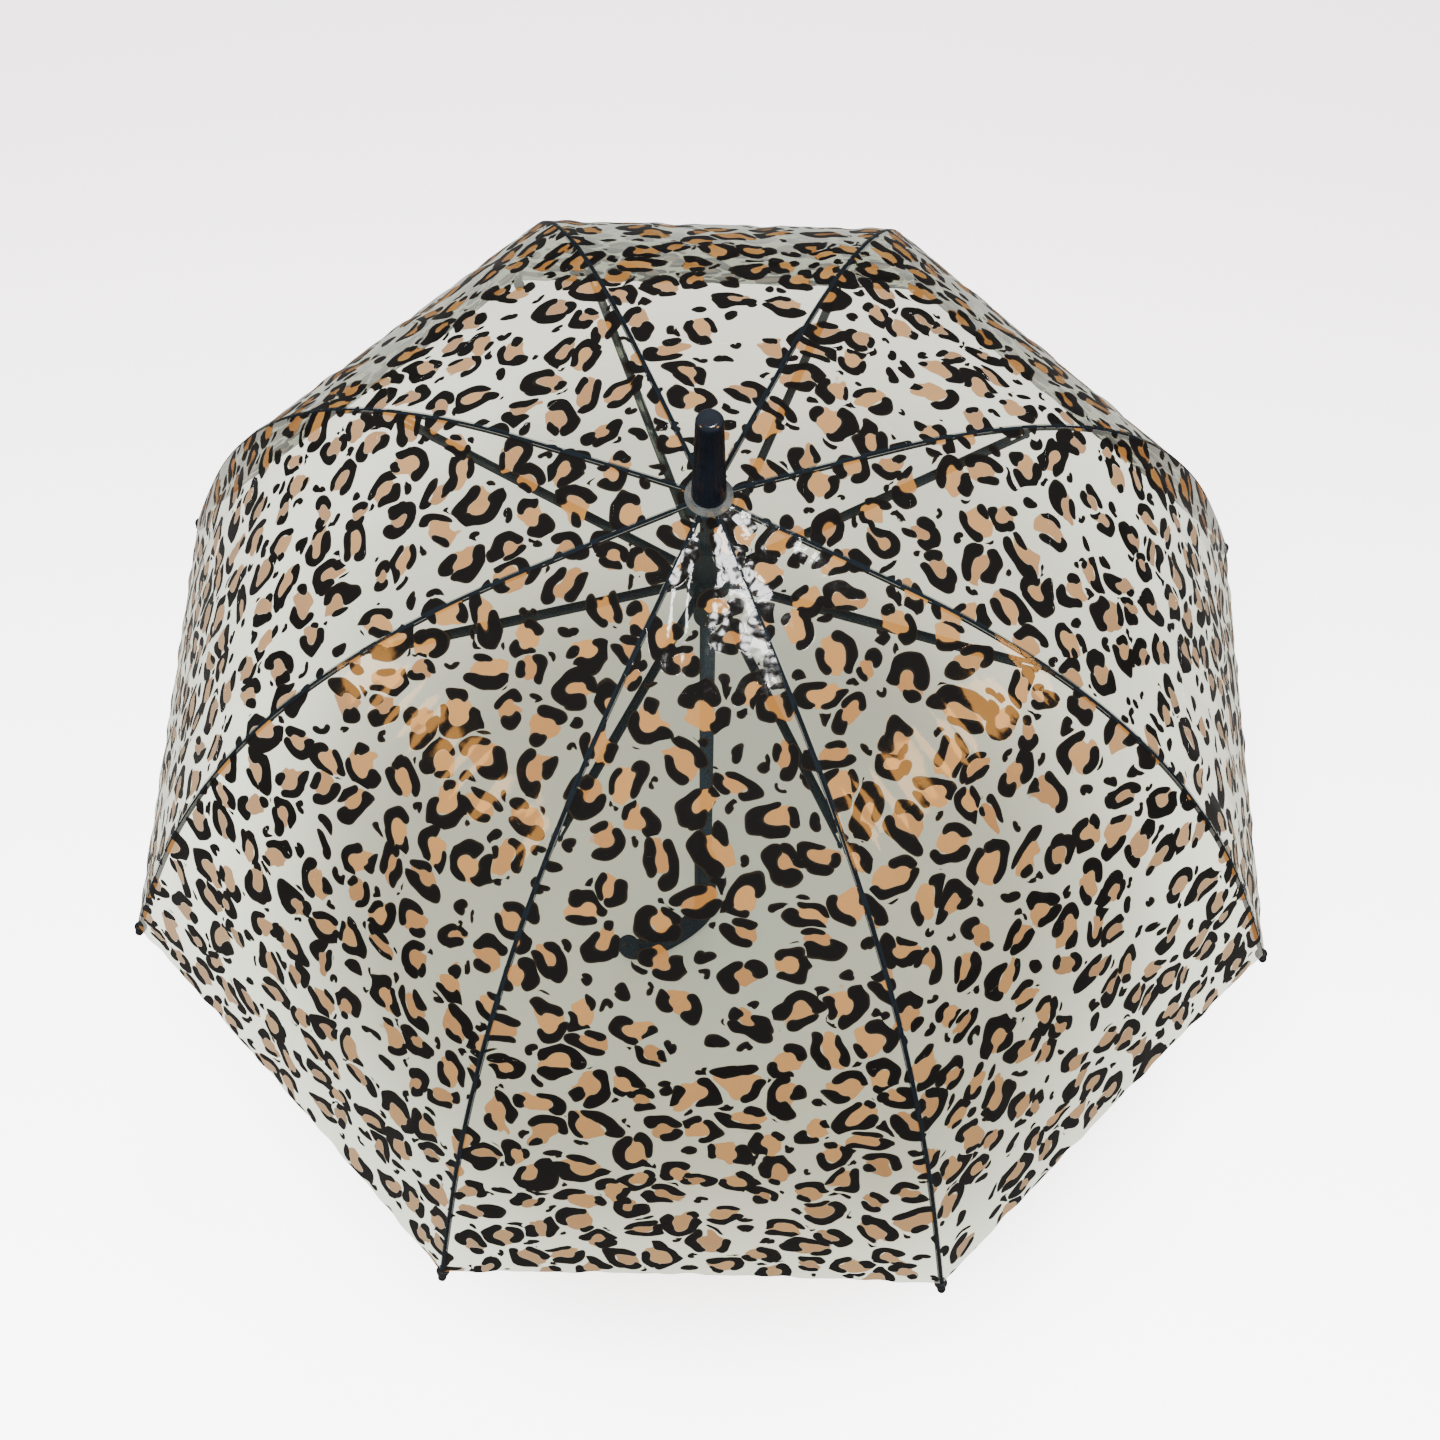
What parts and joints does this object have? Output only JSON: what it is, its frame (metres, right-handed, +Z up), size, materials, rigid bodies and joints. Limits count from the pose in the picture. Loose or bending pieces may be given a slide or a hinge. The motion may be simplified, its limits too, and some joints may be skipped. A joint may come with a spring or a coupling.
{
  "type": "dome umbrella",
  "caption": "Clear dome umbrella with a leopard rosette print, curved ribs on a folding frame, a sliding runner, a spike ferrule and a J hook handle.",
  "frame": {"origin": "middle of the straight hand grip, on the shaft's axis", "axes": "+Z up the shaft towards the ferrule with the umbrella open and upright; -Y is the front; +X is right seen from the front"},
  "size_m": [0.7462, 0.7462, 0.803],
  "materials": {
    "shaft_metal": "black painted steel tube",
    "wire": "bright spring steel",
    "hub_plastic": "black moulded plastic",
    "washer_plastic": "smoky translucent plastic",
    "gloss_black": "polished blue-black plastic",
    "printed_film": "clear film printed with black and tan leopard rosettes",
    "rib_black": "black fibreglass rod",
    "bracket_metal": "dark plated steel",
    "tip_plastic": "black plastic",
    "stretcher_metal": "blue-black painted steel channel"
  },
  "bodies": {
    "shaft": {"shaft_tube": "shaft_metal", "top_notch": "hub_plastic", "notch_wire": "wire", "ferrule_washer": "washer_plastic", "ferrule": "gloss_black", "handle": "gloss_black", "canopy": "printed_film"},
    "runner": {"runner": "hub_plastic"},
    "upper_catch": {"upper_catch": "wire"},
    "lower_catch": {"lower_catch": "wire"},
    "rib_1": {"rib_inner_1": "rib_black", "knee_bracket_1": "bracket_metal"},
    "rib_1_middle": {"rib_middle_1": "rib_black"},
    "rib_1_outer": {"rib_outer_1": "rib_black", "rib_tip_1": "tip_plastic"},
    "stretcher_1": {"stretcher_1": "stretcher_metal"},
    "rib_2": {"rib_inner_2": "rib_black", "knee_bracket_2": "bracket_metal"},
    "rib_2_middle": {"rib_middle_2": "rib_black"},
    "rib_2_outer": {"rib_outer_2": "rib_black", "rib_tip_2": "tip_plastic"},
    "stretcher_2": {"stretcher_2": "stretcher_metal"},
    "rib_3": {"rib_inner_3": "rib_black", "knee_bracket_3": "bracket_metal"},
    "rib_3_middle": {"rib_middle_3": "rib_black"},
    "rib_3_outer": {"rib_outer_3": "rib_black", "rib_tip_3": "tip_plastic"},
    "stretcher_3": {"stretcher_3": "stretcher_metal"},
    "rib_4": {"rib_inner_4": "rib_black", "knee_bracket_4": "bracket_metal"},
    "rib_4_middle": {"rib_middle_4": "rib_black"},
    "rib_4_outer": {"rib_outer_4": "rib_black", "rib_tip_4": "tip_plastic"},
    "stretcher_4": {"stretcher_4": "stretcher_metal"},
    "rib_5": {"rib_inner_5": "rib_black", "knee_bracket_5": "bracket_metal"},
    "rib_5_middle": {"rib_middle_5": "rib_black"},
    "rib_5_outer": {"rib_outer_5": "rib_black", "rib_tip_5": "tip_plastic"},
    "stretcher_5": {"stretcher_5": "stretcher_metal"},
    "rib_6": {"rib_inner_6": "rib_black", "knee_bracket_6": "bracket_metal"},
    "rib_6_middle": {"rib_middle_6": "rib_black"},
    "rib_6_outer": {"rib_outer_6": "rib_black", "rib_tip_6": "tip_plastic"},
    "stretcher_6": {"stretcher_6": "stretcher_metal"},
    "rib_7": {"rib_inner_7": "rib_black", "knee_bracket_7": "bracket_metal"},
    "rib_7_middle": {"rib_middle_7": "rib_black"},
    "rib_7_outer": {"rib_outer_7": "rib_black", "rib_tip_7": "tip_plastic"},
    "stretcher_7": {"stretcher_7": "stretcher_metal"},
    "rib_8": {"rib_inner_8": "rib_black", "knee_bracket_8": "bracket_metal"},
    "rib_8_middle": {"rib_middle_8": "rib_black"},
    "rib_8_outer": {"rib_outer_8": "rib_black", "rib_tip_8": "tip_plastic"},
    "stretcher_8": {"stretcher_8": "stretcher_metal"}
  },
  "joints": [
    {"name": "runner_slide", "type": "slide", "parent": "shaft", "child": "runner", "axis": [0, 0, 1], "range_m": [-0.2948, 0], "deforming": ["canopy"]},
    {"name": "upper_catch_press", "type": "slide", "parent": "shaft", "child": "upper_catch", "axis": [1, 0, 0], "range_m": [-0.003, 0], "stiffness_N_per_m": 400, "springref_m": 0.0005},
    {"name": "lower_catch_press", "type": "slide", "parent": "shaft", "child": "lower_catch", "axis": [1, 0, 0], "range_m": [-0.003, 0], "stiffness_N_per_m": 400, "springref_m": 0.0005},
    {"name": "rib_1_hinge", "type": "hinge", "parent": "shaft", "child": "rib_1", "pos_m": [0.0044, -0.01063, 0.62], "axis": [-0.9239, -0.3827, 0], "range_deg": [-73.19, 0]},
    {"name": "rib_1_flex_middle", "type": "hinge", "parent": "rib_1", "child": "rib_1_middle", "pos_m": [0.07975, -0.19253, 0.57561], "axis": [0.9239, 0.3827, 0], "range_deg": [-21.05, 0]},
    {"name": "rib_1_flex_outer", "type": "hinge", "parent": "rib_1_middle", "child": "rib_1_outer", "pos_m": [0.11667, -0.28167, 0.49472], "axis": [0.9239, 0.3827, 0], "range_deg": [-27.05, 0]},
    {"name": "stretcher_1_knee", "type": "hinge", "parent": "rib_1", "child": "stretcher_1", "pos_m": [0.07594, -0.18333, 0.57562], "axis": [0.9239, 0.3827, 0], "range_deg": [-146.34, 0]},
    {"name": "rib_2_hinge", "type": "hinge", "parent": "shaft", "child": "rib_2", "pos_m": [0.01063, -0.0044, 0.62], "axis": [-0.3827, -0.9239, 0], "range_deg": [-73.19, 0]},
    {"name": "rib_2_flex_middle", "type": "hinge", "parent": "rib_2", "child": "rib_2_middle", "pos_m": [0.19253, -0.07975, 0.57561], "axis": [0.3827, 0.9239, 0], "range_deg": [-21.05, 0]},
    {"name": "rib_2_flex_outer", "type": "hinge", "parent": "rib_2_middle", "child": "rib_2_outer", "pos_m": [0.28167, -0.11667, 0.49472], "axis": [0.3827, 0.9239, 0], "range_deg": [-27.05, 0]},
    {"name": "stretcher_2_knee", "type": "hinge", "parent": "rib_2", "child": "stretcher_2", "pos_m": [0.18333, -0.07594, 0.57562], "axis": [0.3827, 0.9239, 0], "range_deg": [-146.34, 0]},
    {"name": "rib_3_hinge", "type": "hinge", "parent": "shaft", "child": "rib_3", "pos_m": [0.01063, 0.0044, 0.62], "axis": [0.3827, -0.9239, 0], "range_deg": [-73.19, 0]},
    {"name": "rib_3_flex_middle", "type": "hinge", "parent": "rib_3", "child": "rib_3_middle", "pos_m": [0.19253, 0.07975, 0.57561], "axis": [-0.3827, 0.9239, 0], "range_deg": [-21.05, 0]},
    {"name": "rib_3_flex_outer", "type": "hinge", "parent": "rib_3_middle", "child": "rib_3_outer", "pos_m": [0.28167, 0.11667, 0.49472], "axis": [-0.3827, 0.9239, 0], "range_deg": [-27.05, 0]},
    {"name": "stretcher_3_knee", "type": "hinge", "parent": "rib_3", "child": "stretcher_3", "pos_m": [0.18333, 0.07594, 0.57562], "axis": [-0.3827, 0.9239, 0], "range_deg": [-146.34, 0]},
    {"name": "rib_4_hinge", "type": "hinge", "parent": "shaft", "child": "rib_4", "pos_m": [0.0044, 0.01063, 0.62], "axis": [0.9239, -0.3827, 0], "range_deg": [-73.19, 0]},
    {"name": "rib_4_flex_middle", "type": "hinge", "parent": "rib_4", "child": "rib_4_middle", "pos_m": [0.07975, 0.19253, 0.57561], "axis": [-0.9239, 0.3827, 0], "range_deg": [-21.05, 0]},
    {"name": "rib_4_flex_outer", "type": "hinge", "parent": "rib_4_middle", "child": "rib_4_outer", "pos_m": [0.11667, 0.28167, 0.49472], "axis": [-0.9239, 0.3827, 0], "range_deg": [-27.05, 0]},
    {"name": "stretcher_4_knee", "type": "hinge", "parent": "rib_4", "child": "stretcher_4", "pos_m": [0.07594, 0.18333, 0.57562], "axis": [-0.9239, 0.3827, 0], "range_deg": [-146.34, 0]},
    {"name": "rib_5_hinge", "type": "hinge", "parent": "shaft", "child": "rib_5", "pos_m": [-0.0044, 0.01063, 0.62], "axis": [0.9239, 0.3827, 0], "range_deg": [-73.19, 0]},
    {"name": "rib_5_flex_middle", "type": "hinge", "parent": "rib_5", "child": "rib_5_middle", "pos_m": [-0.07975, 0.19253, 0.57561], "axis": [-0.9239, -0.3827, 0], "range_deg": [-21.05, 0]},
    {"name": "rib_5_flex_outer", "type": "hinge", "parent": "rib_5_middle", "child": "rib_5_outer", "pos_m": [-0.11667, 0.28167, 0.49472], "axis": [-0.9239, -0.3827, 0], "range_deg": [-27.05, 0]},
    {"name": "stretcher_5_knee", "type": "hinge", "parent": "rib_5", "child": "stretcher_5", "pos_m": [-0.07594, 0.18333, 0.57562], "axis": [-0.9239, -0.3827, 0], "range_deg": [-146.34, 0]},
    {"name": "rib_6_hinge", "type": "hinge", "parent": "shaft", "child": "rib_6", "pos_m": [-0.01063, 0.0044, 0.62], "axis": [0.3827, 0.9239, 0], "range_deg": [-73.19, 0]},
    {"name": "rib_6_flex_middle", "type": "hinge", "parent": "rib_6", "child": "rib_6_middle", "pos_m": [-0.19253, 0.07975, 0.57561], "axis": [-0.3827, -0.9239, 0], "range_deg": [-21.05, 0]},
    {"name": "rib_6_flex_outer", "type": "hinge", "parent": "rib_6_middle", "child": "rib_6_outer", "pos_m": [-0.28167, 0.11667, 0.49472], "axis": [-0.3827, -0.9239, 0], "range_deg": [-27.05, 0]},
    {"name": "stretcher_6_knee", "type": "hinge", "parent": "rib_6", "child": "stretcher_6", "pos_m": [-0.18333, 0.07594, 0.57562], "axis": [-0.3827, -0.9239, 0], "range_deg": [-146.34, 0]},
    {"name": "rib_7_hinge", "type": "hinge", "parent": "shaft", "child": "rib_7", "pos_m": [-0.01063, -0.0044, 0.62], "axis": [-0.3827, 0.9239, 0], "range_deg": [-73.19, 0]},
    {"name": "rib_7_flex_middle", "type": "hinge", "parent": "rib_7", "child": "rib_7_middle", "pos_m": [-0.19253, -0.07975, 0.57561], "axis": [0.3827, -0.9239, 0], "range_deg": [-21.05, 0]},
    {"name": "rib_7_flex_outer", "type": "hinge", "parent": "rib_7_middle", "child": "rib_7_outer", "pos_m": [-0.28167, -0.11667, 0.49472], "axis": [0.3827, -0.9239, 0], "range_deg": [-27.05, 0]},
    {"name": "stretcher_7_knee", "type": "hinge", "parent": "rib_7", "child": "stretcher_7", "pos_m": [-0.18333, -0.07594, 0.57562], "axis": [0.3827, -0.9239, 0], "range_deg": [-146.34, 0]},
    {"name": "rib_8_hinge", "type": "hinge", "parent": "shaft", "child": "rib_8", "pos_m": [-0.0044, -0.01063, 0.62], "axis": [-0.9239, 0.3827, 0], "range_deg": [-73.19, 0]},
    {"name": "rib_8_flex_middle", "type": "hinge", "parent": "rib_8", "child": "rib_8_middle", "pos_m": [-0.07975, -0.19253, 0.57561], "axis": [0.9239, -0.3827, 0], "range_deg": [-21.05, 0]},
    {"name": "rib_8_flex_outer", "type": "hinge", "parent": "rib_8_middle", "child": "rib_8_outer", "pos_m": [-0.11667, -0.28167, 0.49472], "axis": [0.9239, -0.3827, 0], "range_deg": [-27.05, 0]},
    {"name": "stretcher_8_knee", "type": "hinge", "parent": "rib_8", "child": "stretcher_8", "pos_m": [-0.07594, -0.18333, 0.57562], "axis": [0.9239, -0.3827, 0], "range_deg": [-146.34, 0]}
  ],
  "couplings": [
    {"joint": "rib_1_hinge", "follows": "runner_slide", "rad_per_m": 4.3304},
    {"joint": "rib_1_flex_middle", "follows": "runner_slide", "rad_per_m": 1.2433},
    {"joint": "rib_1_flex_outer", "follows": "runner_slide", "rad_per_m": 1.5985},
    {"joint": "stretcher_1_knee", "follows": "runner_slide", "rad_per_m": 8.6608},
    {"joint": "rib_2_hinge", "follows": "runner_slide", "rad_per_m": 4.3304},
    {"joint": "rib_2_flex_middle", "follows": "runner_slide", "rad_per_m": 1.2433},
    {"joint": "rib_2_flex_outer", "follows": "runner_slide", "rad_per_m": 1.5985},
    {"joint": "stretcher_2_knee", "follows": "runner_slide", "rad_per_m": 8.6608},
    {"joint": "rib_3_hinge", "follows": "runner_slide", "rad_per_m": 4.3304},
    {"joint": "rib_3_flex_middle", "follows": "runner_slide", "rad_per_m": 1.2433},
    {"joint": "rib_3_flex_outer", "follows": "runner_slide", "rad_per_m": 1.5985},
    {"joint": "stretcher_3_knee", "follows": "runner_slide", "rad_per_m": 8.6608},
    {"joint": "rib_4_hinge", "follows": "runner_slide", "rad_per_m": 4.3304},
    {"joint": "rib_4_flex_middle", "follows": "runner_slide", "rad_per_m": 1.2433},
    {"joint": "rib_4_flex_outer", "follows": "runner_slide", "rad_per_m": 1.5985},
    {"joint": "stretcher_4_knee", "follows": "runner_slide", "rad_per_m": 8.6608},
    {"joint": "rib_5_hinge", "follows": "runner_slide", "rad_per_m": 4.3304},
    {"joint": "rib_5_flex_middle", "follows": "runner_slide", "rad_per_m": 1.2433},
    {"joint": "rib_5_flex_outer", "follows": "runner_slide", "rad_per_m": 1.5985},
    {"joint": "stretcher_5_knee", "follows": "runner_slide", "rad_per_m": 8.6608},
    {"joint": "rib_6_hinge", "follows": "runner_slide", "rad_per_m": 4.3304},
    {"joint": "rib_6_flex_middle", "follows": "runner_slide", "rad_per_m": 1.2433},
    {"joint": "rib_6_flex_outer", "follows": "runner_slide", "rad_per_m": 1.5985},
    {"joint": "stretcher_6_knee", "follows": "runner_slide", "rad_per_m": 8.6608},
    {"joint": "rib_7_hinge", "follows": "runner_slide", "rad_per_m": 4.3304},
    {"joint": "rib_7_flex_middle", "follows": "runner_slide", "rad_per_m": 1.2433},
    {"joint": "rib_7_flex_outer", "follows": "runner_slide", "rad_per_m": 1.5985},
    {"joint": "stretcher_7_knee", "follows": "runner_slide", "rad_per_m": 8.6608},
    {"joint": "rib_8_hinge", "follows": "runner_slide", "rad_per_m": 4.3304},
    {"joint": "rib_8_flex_middle", "follows": "runner_slide", "rad_per_m": 1.2433},
    {"joint": "rib_8_flex_outer", "follows": "runner_slide", "rad_per_m": 1.5985},
    {"joint": "stretcher_8_knee", "follows": "runner_slide", "rad_per_m": 8.6608}
  ]
}
